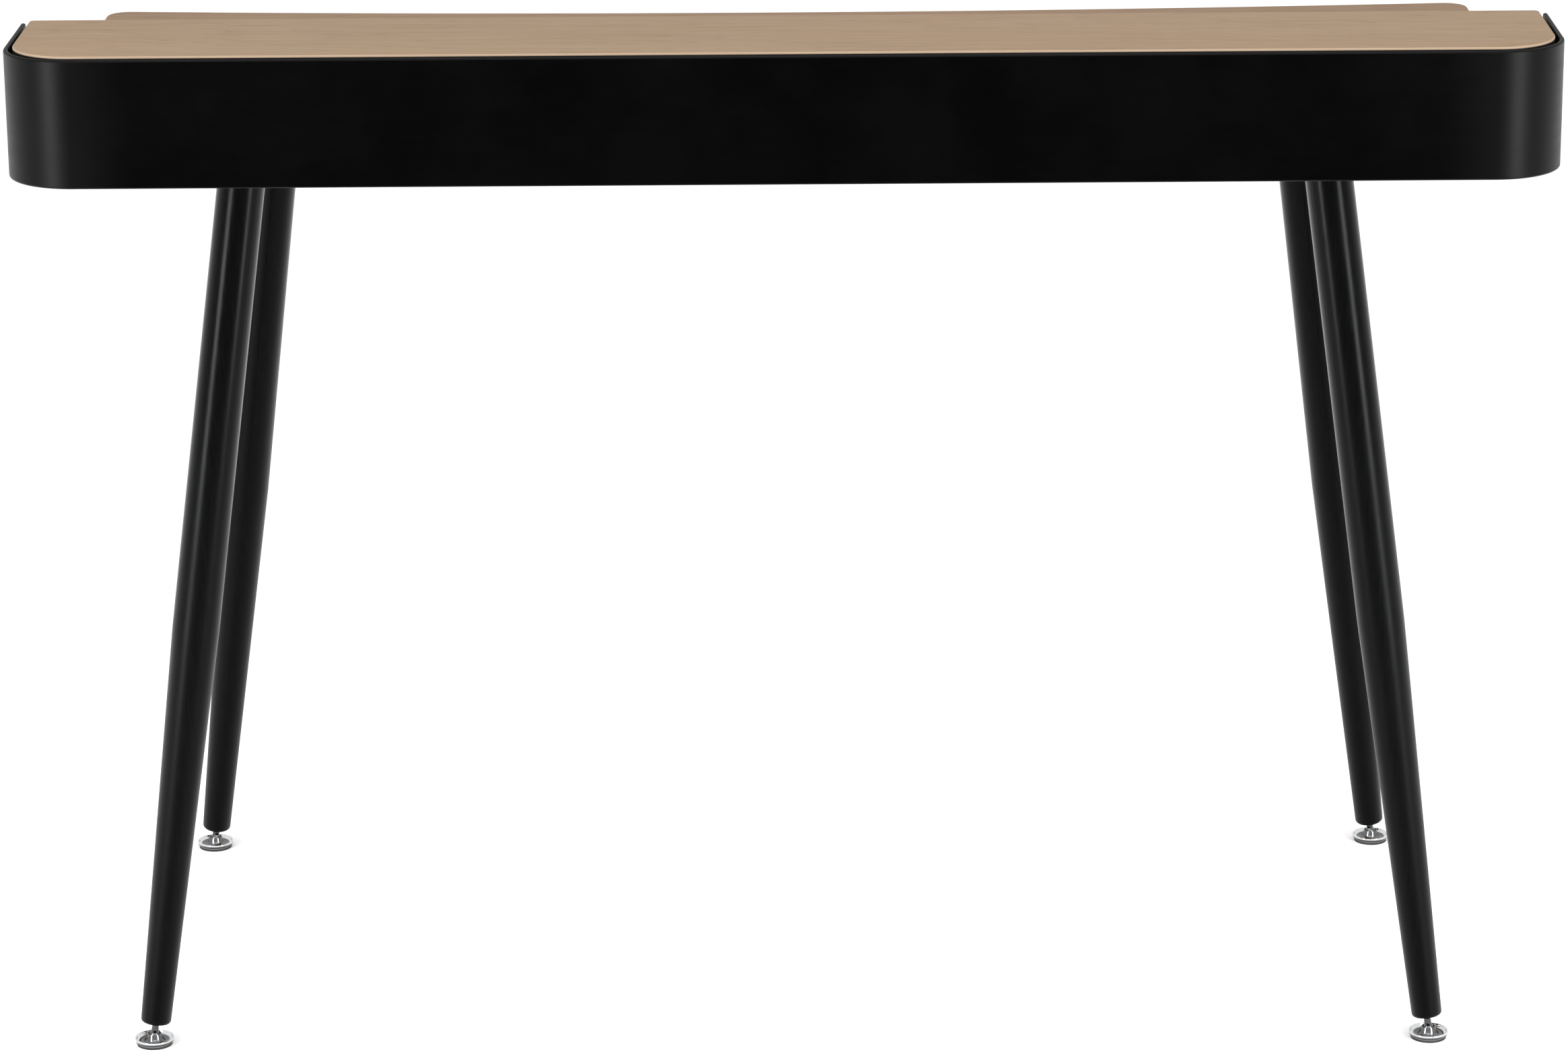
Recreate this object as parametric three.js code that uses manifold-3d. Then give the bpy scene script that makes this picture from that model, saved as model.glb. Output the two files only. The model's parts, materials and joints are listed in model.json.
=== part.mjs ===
// Writing desk: an oak writing board with a raised drawer box along its back edge.
// A black shell wraps the box on three sides, and four splayed black legs stand on levelling feet.
// Millimetres, +Z up. The origin is on the floor under the middle of the desk.
// The person who writes sits on the -Y side, and "left" and "right" are that person's.
import * as THREE from 'three';
import { mergeVertices } from 'three/addons/utils/BufferGeometryUtils.js';
import Module from 'manifold-3d';

const wasm = await Module();
wasm.setup();

// ---------------------------------------------------------------- driving dimensions
const WIDTH = 1200;
const DEPTH = 600;
const RIM_HEIGHT = 830;
const TOUCH = 0.3; // clearance between pieces that meet

const SHELL = { height: 100, wall: 4, radius: 56, depth: 150 };
const SHADOW_GAP = 3.3; // between the shell and the top panel
const TOP = { thickness: 14, proud: 2, frontRadius: 4 };
const BOARD = { height: 750, thickness: 20, gap: 5, frontRadius: 20, hollow: 22.5, seat: 0.5 };

const CARCASS = { thickness: 12, setback: 2, divider: 200 };
const DRAWER = {
  gap: 2, front: 12, side: 9, bottom: 4, groove: 4, bottomRise: 3, sideTop: 12, backGap: 12, travel: 90,
};
const RUNNER = { width: 9, height: 3 };
const STOP = { width: 40, depth: 8, height: 16 };
const BUMPER = { radius: 6, length: 11.7 };
const PULL = { radius: 9, neck: 5, length: 20, bore: 2.3 };
const PULL_SCREW = { radius: 2, head: 4, headHeight: 2.2, grip: 10 };

const LEG = {
  topX: 426, topY: 166, footX: 519.5, footY: 233, endHeight: 18,
  topRadius: 18.9, endRadius: 12.25, straight: 0.54, edge: 3,
};
const PLATE = { size: 96, thickness: 4, corner: 14 };
const LEG_BOLT = { radius: 4, length: 44 };
const INSERT = { radius: 6.5, length: 18, bore: 3.9 };
const FOOT = {
  pad: 2, padRadius: 14.5, radius: 16, rim: 6, floor: 3.4, hub: 8,
  stem: 3, ball: 4.6, ballHeight: 7.6, mouth: 0.49, stemLength: 42,
};
const ROUND = 32; // facets round a turned piece

// ---------------------------------------------------------------- materials
const oak = new THREE.MeshStandardMaterial({ color: 0xac9478, roughness: 0.55, metalness: 0 });
const black = new THREE.MeshStandardMaterial({ color: 0x1c1c1e, roughness: 0.42, metalness: 0 });
const stain = new THREE.MeshStandardMaterial({ color: 0x17171a, roughness: 0.7, metalness: 0 });
const chrome = new THREE.MeshStandardMaterial({ color: 0xd8dadc, roughness: 0.08, metalness: 1 });
const zinc = new THREE.MeshStandardMaterial({ color: 0x9a9c9e, roughness: 0.4, metalness: 1 });
const rubber = new THREE.MeshStandardMaterial({ color: 0x151515, roughness: 0.85, metalness: 0 });

// ---------------------------------------------------------------- closed solids
// Welds shared corners, drops triangles without area and turns the faces outwards.
function weld(geometry) {
  const bare = geometry.clone();
  bare.deleteAttribute('normal');
  bare.deleteAttribute('uv');
  const merged = mergeVertices(bare, 1e-4);
  const corners = merged.index.array;
  const kept = [];
  for (let i = 0; i < corners.length; i += 3) {
    const [a, b, c] = [corners[i], corners[i + 1], corners[i + 2]];
    if (a !== b && b !== c && c !== a) kept.push(a, b, c);
  }
  if (signedVolume(merged.attributes.position, kept) < 0) kept.reverse();
  merged.setIndex(kept);
  return merged;
}

function signedVolume(position, index) {
  const [a, b, c] = [new THREE.Vector3(), new THREE.Vector3(), new THREE.Vector3()];
  let six = 0;
  for (let i = 0; i < index.length; i += 3) {
    a.fromBufferAttribute(position, index[i]);
    b.fromBufferAttribute(position, index[i + 1]);
    c.fromBufferAttribute(position, index[i + 2]);
    six += a.dot(b.cross(c));
  }
  return six / 6;
}

function toManifold(geometry) {
  const welded = weld(geometry);
  return new wasm.Manifold(new wasm.Mesh({
    numProp: 3,
    vertProperties: new Float32Array(welded.attributes.position.array),
    triVerts: new Uint32Array(welded.index.array),
  }));
}

function cut(geometry, ...tools) {
  let body = toManifold(geometry);
  for (const tool of tools) body = body.subtract(toManifold(tool));
  const mesh = body.getMesh();
  const result = new THREE.BufferGeometry();
  result.setAttribute('position', new THREE.BufferAttribute(mesh.vertProperties, mesh.numProp));
  result.setIndex(new THREE.BufferAttribute(mesh.triVerts, 1));
  return result;
}

// A box from its lowest to its highest corner.
function block(x0, y0, z0, x1, y1, z1) {
  const box = new THREE.BoxGeometry(x1 - x0, y1 - y0, z1 - z0);
  return box.translate((x0 + x1) / 2, (y0 + y1) / 2, (z0 + z1) / 2);
}

// A flat outline in XY, standing from z0 to z1.
function prism(shape, z0, z1, curveSegments = 8) {
  const solid = new THREE.ExtrudeGeometry(shape, { depth: z1 - z0, bevelEnabled: false, curveSegments });
  return solid.translate(0, 0, z0);
}

// A piece turned about Z from [radius, height] pairs that start and end on the axis.
function turned(profile, facets = ROUND) {
  const points = profile.map(([radius, height]) => new THREE.Vector2(radius, height));
  return new THREE.LatheGeometry(points, facets).rotateX(Math.PI / 2);
}

const desk = new THREE.Group();

function add(name, geometry, material, parent = desk) {
  const mesh = new THREE.Mesh(weld(geometry), material);
  mesh.name = name;
  parent.add(mesh);
  return mesh;
}

const SIDES = [['left', -1], ['right', 1]];
const ENDS = [['front', -1], ['rear', 1]];

// ---------------------------------------------------------------- shell and oak panels
const halfWidth = WIDTH / 2;
const rearFace = DEPTH / 2;
const boxFront = rearFace - SHELL.depth;
const shellBottom = RIM_HEIGHT - SHELL.height;
const cornerX = halfWidth - SHELL.radius;
const cornerY = rearFace - SHELL.radius;

// The outline of a piece nested in the shell: rounded at the back, its front edge drawn by the caller.
function nestedOutline(inset, frontY, drawFront) {
  const side = halfWidth - inset;
  const radius = SHELL.radius - inset;
  const shape = new THREE.Shape();
  shape.moveTo(side, frontY);
  shape.lineTo(side, cornerY);
  shape.absarc(cornerX, cornerY, radius, 0, Math.PI / 2, false);
  shape.lineTo(-cornerX, cornerY + radius);
  shape.absarc(-cornerX, cornerY, radius, Math.PI / 2, Math.PI, false);
  shape.lineTo(-side, frontY);
  drawFront(shape, side);
  shape.closePath();
  return shape;
}

function buildShell() {
  const inner = SHELL.radius - SHELL.wall;
  const outline = nestedOutline(0, boxFront, (shape, side) => {
    shape.lineTo(-side + SHELL.wall, boxFront);
    shape.lineTo(-side + SHELL.wall, cornerY);
    shape.absarc(-cornerX, cornerY, inner, Math.PI, Math.PI / 2, true);
    shape.lineTo(cornerX, cornerY + inner);
    shape.absarc(cornerX, cornerY, inner, Math.PI / 2, 0, true);
    shape.lineTo(side - SHELL.wall, boxFront);
  });
  add('back_shell', prism(outline, shellBottom, RIM_HEIGHT, 10), black);
}

const panelInset = SHELL.wall + SHADOW_GAP;
const topPanelBottom = RIM_HEIGHT + TOP.proud - TOP.thickness;

function buildTopPanel() {
  const radius = TOP.frontRadius;
  const outline = nestedOutline(panelInset, boxFront + radius, (shape, side) => {
    shape.absarc(-side + radius, boxFront + radius, radius, Math.PI, 1.5 * Math.PI, false);
    shape.lineTo(side - radius, boxFront);
    shape.absarc(side - radius, boxFront + radius, radius, -Math.PI / 2, 0, false);
  });
  add('top_panel', prism(outline, topPanelBottom, RIM_HEIGHT + TOP.proud), oak);
}

// The board's front edge is one shallow hollow arc that runs into a rounded corner at each end.
// The box stands in a shallow seat, so the writing surface is a clear face of its own.
function buildWritingBoard() {
  const r = BOARD.frontRadius;
  const inset = SHELL.wall + BOARD.gap;
  const chord = halfWidth - inset - r;
  const sweep = (chord * chord + BOARD.hollow * BOARD.hollow) / (2 * BOARD.hollow);
  const filletY = -rearFace + r;
  const rise = Math.sqrt((sweep + r) * (sweep + r) - chord * chord);
  const lean = Math.atan2(chord, rise);
  const outline = nestedOutline(inset, filletY, (shape) => {
    shape.absarc(-chord, filletY, r, Math.PI, 1.5 * Math.PI + lean, false);
    shape.absarc(0, filletY - rise, sweep, Math.PI / 2 + lean, Math.PI / 2 - lean, true);
    shape.absarc(chord, filletY, r, -Math.PI / 2 - lean, 0, false);
  });
  const slab = prism(outline, BOARD.height - BOARD.thickness, BOARD.height, 12);
  const seat = block(-WIDTH, boxFront, BOARD.height - BOARD.seat, WIDTH, DEPTH, BOARD.height + 1);
  add('writing_board', cut(slab, seat), oak);
}

// ---------------------------------------------------------------- carcass inside the shell
const bayFloor = BOARD.height - BOARD.seat;
const bayCeiling = topPanelBottom;
const carcassInset = SHELL.wall + TOUCH;
const carcassSide = halfWidth - SHELL.wall - CARCASS.thickness;
const carcassRear = rearFace - SHELL.wall - CARCASS.thickness;
const carcassFront = boxFront + CARCASS.setback;

function buildCarcass() {
  const outerX = halfWidth - carcassInset;
  const radius = SHELL.radius - carcassInset;
  const reach = Math.acos((carcassSide - cornerX) / radius);
  const shape = new THREE.Shape();
  shape.moveTo(carcassSide, carcassFront);
  shape.lineTo(outerX, carcassFront);
  shape.lineTo(outerX, cornerY);
  shape.absarc(cornerX, cornerY, radius, 0, reach, false);
  shape.closePath();
  const end = prism(shape, bayFloor, bayCeiling);
  add('carcass_end_right', end, stain);
  add('carcass_end_left', end.clone().scale(-1, 1, 1), stain);
  const backY = rearFace - carcassInset;
  add('carcass_back', block(-cornerX, carcassRear, bayFloor, cornerX, backY, bayCeiling), stain);
  for (const [side, s] of SIDES) {
    const half = CARCASS.thickness / 2;
    const x = s * CARCASS.divider;
    const divider = block(x - half, carcassFront, bayFloor, x + half, carcassRear, bayCeiling);
    add(`divider_${side}`, divider, stain);
  }
}

// ---------------------------------------------------------------- drawers
// Each drawer is built on the right, and the left one is its mirror image.
function buildDrawer(side, s) {
  const inner = CARCASS.divider + CARCASS.thickness / 2;
  const x0 = inner + DRAWER.gap;
  const x1 = carcassSide - DRAWER.gap;
  const middle = (x0 + x1) / 2;
  const y0 = carcassFront;
  const yFront = y0 + DRAWER.front;
  const yBack = carcassRear - DRAWER.backGap;
  const zSide = bayFloor + RUNNER.height + TOUCH;
  const zFront = BOARD.height + DRAWER.gap;
  const zTop = bayCeiling - DRAWER.gap;
  const zSideTop = bayCeiling - DRAWER.sideTop;
  const zBottom = zSide + DRAWER.bottomRise;
  const zBottomTop = zBottom + DRAWER.bottom;
  const fit = TOUCH / 2;
  const place = (name, geometry, material) => add(name, geometry.scale(s, 1, 1), material);
  const groove = block(x0 + DRAWER.side - DRAWER.groove, yFront - DRAWER.groove, zBottom - fit,
    x1 - DRAWER.side + DRAWER.groove, yBack + 1, zBottomTop + fit);
  const pullHeight = (zFront + zTop) / 2;
  const hole = new THREE.CylinderGeometry(PULL.bore, PULL.bore, 2 * DRAWER.front, 16);
  hole.translate(middle, y0 + DRAWER.front / 2, pullHeight);

  const front = block(x0, y0, zFront, x1, yFront, zTop);
  place(`drawer_${side}_front`, cut(front, groove, hole), oak);
  const cheeks = [['inner', x0, x0 + DRAWER.side], ['outer', x1 - DRAWER.side, x1]];
  for (const [cheek, from, to] of cheeks) {
    const board = block(from, yFront, zSide, to, yBack, zSideTop);
    place(`drawer_${side}_side_${cheek}`, cut(board, groove), oak);
  }
  const back = block(x0 + DRAWER.side, yBack - DRAWER.side, zBottomTop + fit, x1 - DRAWER.side, yBack, zSideTop);
  place(`drawer_${side}_back`, back, oak);
  const bottom = block(x0 + DRAWER.side - DRAWER.groove + TOUCH, yFront - DRAWER.groove + TOUCH, zBottom,
    x1 - DRAWER.side + DRAWER.groove - TOUCH, yBack, zBottomTop);
  place(`drawer_${side}_bottom`, bottom, oak);

  // The knob faces the writer, held by a screw from inside the drawer.
  const knob = turned([
    [0, PULL.length], [PULL.radius - 1.5, PULL.length], [PULL.radius, PULL.length - 1.5],
    [PULL.radius, PULL.length - 6], [PULL.neck, 4], [PULL.neck, 0],
    [PULL.bore, 0], [PULL.bore, PULL_SCREW.grip + 1], [0, PULL_SCREW.grip + 1],
  ], 24);
  knob.rotateX(Math.PI / 2).translate(middle, y0 - TOUCH, pullHeight);
  place(`drawer_${side}_pull`, knob, black);
  const shank = DRAWER.front + TOUCH + PULL_SCREW.grip;
  const screw = turned([
    [0, shank], [PULL_SCREW.radius, shank], [PULL_SCREW.radius, 0], [PULL_SCREW.head, 0],
    [PULL_SCREW.head, -1.2], [PULL_SCREW.radius, -PULL_SCREW.headHeight], [0, -PULL_SCREW.headHeight],
  ], 16);
  screw.rotateX(Math.PI / 2).translate(middle, yFront + TOUCH / 2, pullHeight);
  place(`drawer_${side}_pull_screw`, screw, zinc);

  // Fixed pieces that guide and stop the drawer.
  const strips = [['inner', x0], ['outer', x1 - RUNNER.width]];
  for (const [strip, from] of strips) {
    const runner = block(from, yFront + TOUCH, bayFloor, from + RUNNER.width, yBack,
      bayFloor + RUNNER.height);
    place(`runner_${side}_${strip}`, runner, stain);
  }
  const stopY = yBack - DRAWER.side - DRAWER.travel - TOUCH - STOP.depth;
  const stop = block(middle - STOP.width / 2, stopY, bayCeiling - STOP.height,
    middle + STOP.width / 2, stopY + STOP.depth, bayCeiling);
  place(`drawer_stop_${side}`, stop, stain);
  const bumper = turned([
    [0, BUMPER.length], [BUMPER.radius - 1, BUMPER.length], [BUMPER.radius, BUMPER.length - 1],
    [BUMPER.radius, 0], [0, 0],
  ], 16);
  bumper.rotateX(Math.PI / 2).translate(middle, carcassRear, bayFloor + 24);
  place(`drawer_bumper_${side}`, bumper, rubber);
}

// ---------------------------------------------------------------- legs and levelling feet
const boardBottom = BOARD.height - BOARD.thickness;
const legTop = boardBottom - PLATE.thickness - TOUCH;

// A group whose Z runs up the leg's own axis, with its origin at the middle of the leg's foot.
function legGroup(sx, sy) {
  const foot = new THREE.Vector3(sx * LEG.footX, sy * LEG.footY, FOOT.ballHeight);
  const top = new THREE.Vector3(sx * LEG.topX, sy * LEG.topY, boardBottom);
  const group = new THREE.Group();
  group.position.copy(foot);
  group.quaternion.setFromUnitVectors(new THREE.Vector3(0, 0, 1), top.clone().sub(foot).normalize());
  desk.add(group);
  return { group, length: top.distanceTo(foot), lean: top.distanceTo(foot) / (top.z - foot.z) };
}

function buildLeg(name, sx, sy) {
  const { group, length, lean } = legGroup(sx, sy);
  group.updateMatrixWorld(true);
  const toLeg = group.matrixWorld.clone().invert();
  const start = (LEG.endHeight - FOOT.ballHeight) * lean;
  const span = length - start;
  const taperTop = length - LEG.straight * span;
  const over = 30;

  // Everything above the mounting plate's underside is cut away, so that the leg meets it squarely.
  const above = block(-PLATE.size, -PLATE.size, 0, PLATE.size, PLATE.size, 3 * over);
  above.translate(sx * LEG.topX, sy * LEG.topY, legTop).applyMatrix4(toLeg);
  const boreTop = length - PLATE.thickness * lean - LEG_BOLT.length - 2;
  const profile = [
    [0, boreTop], [LEG_BOLT.radius + TOUCH, boreTop], [LEG_BOLT.radius + TOUCH, length + over],
    [LEG.topRadius, length + over], [LEG.topRadius, taperTop], [LEG.endRadius + 0.3, start + LEG.edge],
    [LEG.endRadius - 0.6, start + 0.8], [LEG.endRadius - LEG.edge, start],
    [INSERT.radius + TOUCH, start], [INSERT.radius + TOUCH, start + INSERT.length + TOUCH],
    [FOOT.stem + 0.5, start + INSERT.length + TOUCH], [FOOT.stem + 0.5, start + FOOT.stemLength],
    [0, start + FOOT.stemLength],
  ];
  add(`leg_${name}`, cut(turned(profile), above), black, group);

  const half = PLATE.size / 2;
  const plateShape = new THREE.Shape();
  const c = half - PLATE.corner;
  plateShape.moveTo(half, -c);
  plateShape.absarc(c, c, PLATE.corner, 0, Math.PI / 2, false);
  plateShape.absarc(-c, c, PLATE.corner, Math.PI / 2, Math.PI, false);
  plateShape.absarc(-c, -c, PLATE.corner, Math.PI, 1.5 * Math.PI, false);
  plateShape.absarc(c, -c, PLATE.corner, -Math.PI / 2, 0, false);
  const plate = prism(plateShape, boardBottom - PLATE.thickness, boardBottom, 4);
  plate.translate(sx * LEG.topX, sy * LEG.topY, 0);
  const thread = turned([
    [0, length - over], [LEG_BOLT.radius + TOUCH, length - over],
    [LEG_BOLT.radius + TOUCH, length + over], [0, length + over],
  ], 16).applyMatrix4(group.matrixWorld);
  add(`leg_plate_${name}`, cut(plate, thread), zinc);

  const boltTop = length - 1;
  const bolt = turned([
    [0, boltTop], [LEG_BOLT.radius, boltTop], [LEG_BOLT.radius, boltTop - LEG_BOLT.length],
    [0, boltTop - LEG_BOLT.length],
  ], 16);
  add(`leg_bolt_${name}`, bolt, zinc, group);

  const insert = turned([
    [INSERT.bore, start], [INSERT.radius, start], [INSERT.radius, start + INSERT.length],
    [INSERT.bore, start + INSERT.length], [INSERT.bore, start],
  ], 24);
  add(`leg_insert_${name}`, insert, zinc, group);
  buildFoot(name, sx, sy, group);
}

// Points round a circle in the profile's plane, from one angle above the equator to another.
function profileArc(radius, height, from, to, steps) {
  const points = [];
  for (let i = 0; i <= steps; i += 1) {
    const angle = from + ((to - from) * i) / steps;
    points.push([Math.max(0, radius * Math.cos(angle)), height + radius * Math.sin(angle)]);
  }
  points[0][0] = 0;
  return points;
}

// The stem keeps the leg's slant, and its ball is held in the dish, which lies flat on the floor.
function buildFoot(name, sx, sy, group) {
  const south = -Math.PI / 2;
  const ball = profileArc(FOOT.ball, 0, south, Math.acos(FOOT.stem / FOOT.ball), 7);
  const stem = turned([...ball, [FOOT.stem, FOOT.stemLength], [0, FOOT.stemLength]], 20);
  add(`foot_stem_${name}`, stem, chrome, group);

  const [x, y] = [sx * LEG.footX, sy * LEG.footY];
  const socket = FOOT.ball + TOUCH;
  const cup = profileArc(socket, FOOT.ballHeight, south, FOOT.mouth, 8);
  const [mouthRadius, hubTop] = cup[cup.length - 1];
  const dish = turned([
    ...cup, [mouthRadius + 1.4, hubTop], [FOOT.hub, FOOT.floor + 1.4],
    [FOOT.hub + 2, FOOT.floor + 0.6], [FOOT.radius - 2.6, FOOT.floor + 1.2], [FOOT.radius - 0.8, FOOT.rim],
    [FOOT.radius - 0.2, FOOT.rim - 0.3], [FOOT.radius, FOOT.rim - 1], [FOOT.padRadius + 0.4, FOOT.pad],
    [0, FOOT.pad],
  ], ROUND);
  add(`foot_dish_${name}`, dish.translate(x, y, 0), chrome);
  const pad = turned([[0, 0], [FOOT.padRadius - 0.5, 0], [FOOT.padRadius, 0.5],
    [FOOT.padRadius, FOOT.pad], [0, FOOT.pad]], ROUND);
  add(`foot_pad_${name}`, pad.translate(x, y, 0), rubber);
}

// ---------------------------------------------------------------- the desk
buildShell();
buildTopPanel();
buildWritingBoard();
buildCarcass();
for (const [side, s] of SIDES) buildDrawer(side, s);
for (const [end, sy] of ENDS) {
  for (const [side, sx] of SIDES) buildLeg(`${end}_${side}`, sx, sy);
}

export default desk;
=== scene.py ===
"""A writing desk: oak board and drawer box, black shell, splayed legs on levelling feet."""

import json
import math

import bmesh
import bpy
from mathutils import Matrix, Vector


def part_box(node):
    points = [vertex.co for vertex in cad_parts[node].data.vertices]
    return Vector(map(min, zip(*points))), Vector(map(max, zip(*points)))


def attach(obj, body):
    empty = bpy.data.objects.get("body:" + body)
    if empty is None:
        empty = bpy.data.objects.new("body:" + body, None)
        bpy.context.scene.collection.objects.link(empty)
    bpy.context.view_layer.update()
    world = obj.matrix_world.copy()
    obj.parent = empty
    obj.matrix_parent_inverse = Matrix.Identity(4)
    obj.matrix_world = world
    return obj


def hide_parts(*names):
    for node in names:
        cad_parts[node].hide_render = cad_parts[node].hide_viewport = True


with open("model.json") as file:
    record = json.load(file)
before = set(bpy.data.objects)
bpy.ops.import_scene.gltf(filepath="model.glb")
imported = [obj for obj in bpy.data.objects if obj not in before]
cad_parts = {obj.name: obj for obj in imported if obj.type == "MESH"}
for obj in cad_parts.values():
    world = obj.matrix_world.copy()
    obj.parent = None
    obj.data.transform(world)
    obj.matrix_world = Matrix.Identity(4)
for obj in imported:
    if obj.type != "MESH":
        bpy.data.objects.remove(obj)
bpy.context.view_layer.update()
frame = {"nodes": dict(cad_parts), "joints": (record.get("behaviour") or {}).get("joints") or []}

SIDES = ("left", "right")
LEGS = ("front_left", "front_right", "rear_left", "rear_right")
JOINTS = {joint["name"]: joint for joint in frame["joints"]}
DESK = "desk_frame"

# ------------------------------------------------------------------ sizes that the frame doesn't give
MM = 0.001
SHELL_WALL = 4 * MM
SHELL_CORNER = 56 * MM
SHELL_EDGE = 1.8 * MM
PANEL_CORNER = 48.7 * MM
PANEL_FRONT_CORNER = 4 * MM
PANEL_EDGE = 0.9 * MM
BOARD_CORNER = 47 * MM
FRONT_CORNER = 20 * MM
BOARD_HOLLOW = 22.5 * MM
BOARD_EDGE = 2.5 * MM
CARCASS_CORNER = 51.7 * MM

LEG_RADIUS = 18.9 * MM
LEG_END_RADIUS = 12.25 * MM
LEG_STRAIGHT = 0.54
LEG_END_EDGE = 3 * MM

BALL_RADIUS = 4.6 * MM
STEM_RADIUS = 3 * MM
THREAD_DEPTH = 0.35 * MM
THREAD_CREST = 0.15 * MM
THREAD_PITCH = 1.25 * MM
THREAD_SPARE = 3 * MM
DISH_RIM = 4.3 * MM
DISH_FLOOR = 1.4 * MM
HUB_RADIUS = 7.6 * MM

PLATE_CORNER = 14 * MM
SCREW_HEAD = 4.2 * MM
SCREW_INSET = 13 * MM

# ------------------------------------------------------------------ looks
RING_WIDTH = 5.2 * MM
OAK_LIGHT = (0.269, 0.179, 0.100)
OAK_DARK = (0.205, 0.127, 0.066)
OAK_WARM = (0.254, 0.146, 0.076)
OAK_RAY = (0.308, 0.211, 0.125)
OAK_PORE = (0.096, 0.053, 0.025)
# Pale colour of the painted highlight on the top panel's edge.
OAK_PAINTED_HIGHLIGHT = (0.41, 0.345, 0.275)
# Coat of the painted highlight on the shell's corners.
CORNER_SHEEN_COAT = 0.085
# Metallic share of the painted shade on the shell's flat sides.
SHADED_SIDE_METALLIC = 0.92

STRIP_PLACE = (1.95, 1.98, 0.95)
STRIP_TARGET = (0.4, 0.2, 0.95)
STRIP_SIZE = (0.62, 1.9)
STRIP_RADIANCE = 24
KEY_PLACE = (0, 3.4, 2.3)
KEY_TARGET = (0, 0, 0.7)
KEY_SIZE = (3.2, 1.2)
KEY_RADIANCE = 2.2
ROOM_STRENGTH = 1.1

CAMERA_PLACE = (-0.0244, 4.2583, 1.648)
CAMERA_DEGREES = (-0.381, 16.753, -0.465)
CAMERA_LENS = 121.81
CAMERA_SENSOR = 36


def leg_line(name):
    """The ball's centre under a leg and the direction up its axis."""
    foot = Vector(JOINTS[f"foot_{name}_tilt"]["pos_m"])
    up = -Vector(JOINTS[f"foot_{name}_height"]["axis"]).normalized()
    return foot, up


# ------------------------------------------------------------------ modelling
def clear_selection():
    bpy.ops.object.select_all(action="DESELECT")


def pick(piece):
    clear_selection()
    piece.select_set(True)
    bpy.context.view_layer.objects.active = piece


def settle(piece):
    """Moves the piece's place, turn and size into its mesh."""
    pick(piece)
    bpy.ops.object.transform_apply(location=True, rotation=True, scale=True)
    return piece


def block(name, low, high):
    """A box from its lowest to its highest corner."""
    low, high = Vector(low), Vector(high)
    clear_selection()
    bpy.ops.mesh.primitive_cube_add(size=1, location=(low + high) / 2)
    piece = bpy.context.object
    piece.name = name
    piece.scale = high - low
    return settle(piece)


def choose(piece, kind, test):
    """Opens the piece in edit mode with the parts that pass the test selected."""
    pick(piece)
    bpy.ops.object.mode_set(mode="EDIT")
    bpy.ops.mesh.select_mode(type=kind)
    bpy.ops.mesh.select_all(action="DESELECT")
    grid = bmesh.from_edit_mesh(piece.data)
    for part in {"VERT": grid.verts, "EDGE": grid.edges, "FACE": grid.faces}[kind]:
        if test(part):
            part.select_set(True)
    bmesh.update_edit_mesh(piece.data)


def close_edit():
    bpy.ops.object.mode_set(mode="OBJECT")


def bevel(piece, test, size, segments):
    choose(piece, "EDGE", test)
    bpy.ops.mesh.bevel(offset=size, segments=segments, affect="EDGES", clamp_overlap=True)
    close_edit()


def middle(edge):
    return (edge.verts[0].co + edge.verts[1].co) / 2


def upright(edge):
    a, b = (vertex.co for vertex in edge.verts)
    return abs(a.x - b.x) < 1e-5 and abs(a.y - b.y) < 1e-5


def sharp(edge):
    return len(edge.link_faces) == 2 and edge.calc_face_angle() > math.radians(50)


def smooth(piece, degrees=35):
    """Shades small roundings softly and keeps the broad faces flat."""
    pick(piece)
    bpy.ops.object.shade_smooth_by_angle(angle=math.radians(degrees))
    apply_modifier(piece, "WEIGHTED_NORMAL", weight=50, keep_sharp=True)
    return piece


def apply_modifier(piece, kind, **settings):
    pick(piece)
    modifier = piece.modifiers.new(kind.title(), kind)
    for key, value in settings.items():
        setattr(modifier, key, value)
    bpy.ops.object.modifier_apply(modifier=modifier.name)


def eased_block(name, low, high, edge=0.6 * MM, segments=2):
    piece = block(name, low, high)
    bevel(piece, lambda e: True, edge, segments)
    return smooth(piece)


def turned(name, profile, facets=64):
    """A piece turned about Z from (radius, height) points. It is closed flat at both ends."""
    clear_selection()
    radius, height = profile[0]
    bpy.ops.mesh.primitive_circle_add(
        vertices=facets, radius=radius, fill_type="NGON", location=(0, 0, height)
    )
    piece = settle(bpy.context.object)
    piece.name = name
    bpy.ops.object.mode_set(mode="EDIT")
    bpy.ops.mesh.select_all(action="SELECT")
    for next_radius, next_height in profile[1:]:
        bpy.ops.mesh.extrude_region_move(
            TRANSFORM_OT_translate={"value": (0, 0, next_height - height)}
        )
        grow = next_radius / radius
        bpy.ops.transform.resize(value=(grow, grow, 1))
        radius, height = next_radius, next_height
    bpy.ops.mesh.select_all(action="SELECT")
    bpy.ops.mesh.normals_make_consistent(inside=False)
    close_edit()
    return smooth(piece, 30)


def bend(radius, centre, start, stop, steps):
    """Points of an arc in a profile, in degrees from the outward direction."""
    across, up = centre
    angles = [math.radians(start + (stop - start) * i / steps) for i in range(steps + 1)]
    return [(across + radius * math.cos(a), up + radius * math.sin(a)) for a in angles]


def twin(piece, name):
    """A copy with a mesh of its own."""
    copy = piece.copy()
    copy.data = piece.data.copy()
    copy.name = name
    bpy.context.scene.collection.objects.link(copy)
    return copy


def finished(piece, body, material, slot, *nodes):
    """Gives the piece its material, its body and the CAD nodes it stands for."""
    piece.data.materials.clear()
    piece.data.materials.append(material)
    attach(piece, body)
    if nodes:
        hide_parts(*nodes)
    return piece


def dress(piece, material, test):
    """Gives the faces that pass the test another material."""
    piece.data.materials.append(material)
    choose(piece, "FACE", test)
    piece.active_material_index = len(piece.data.materials) - 1
    bpy.ops.object.material_slot_assign()
    close_edit()


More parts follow.
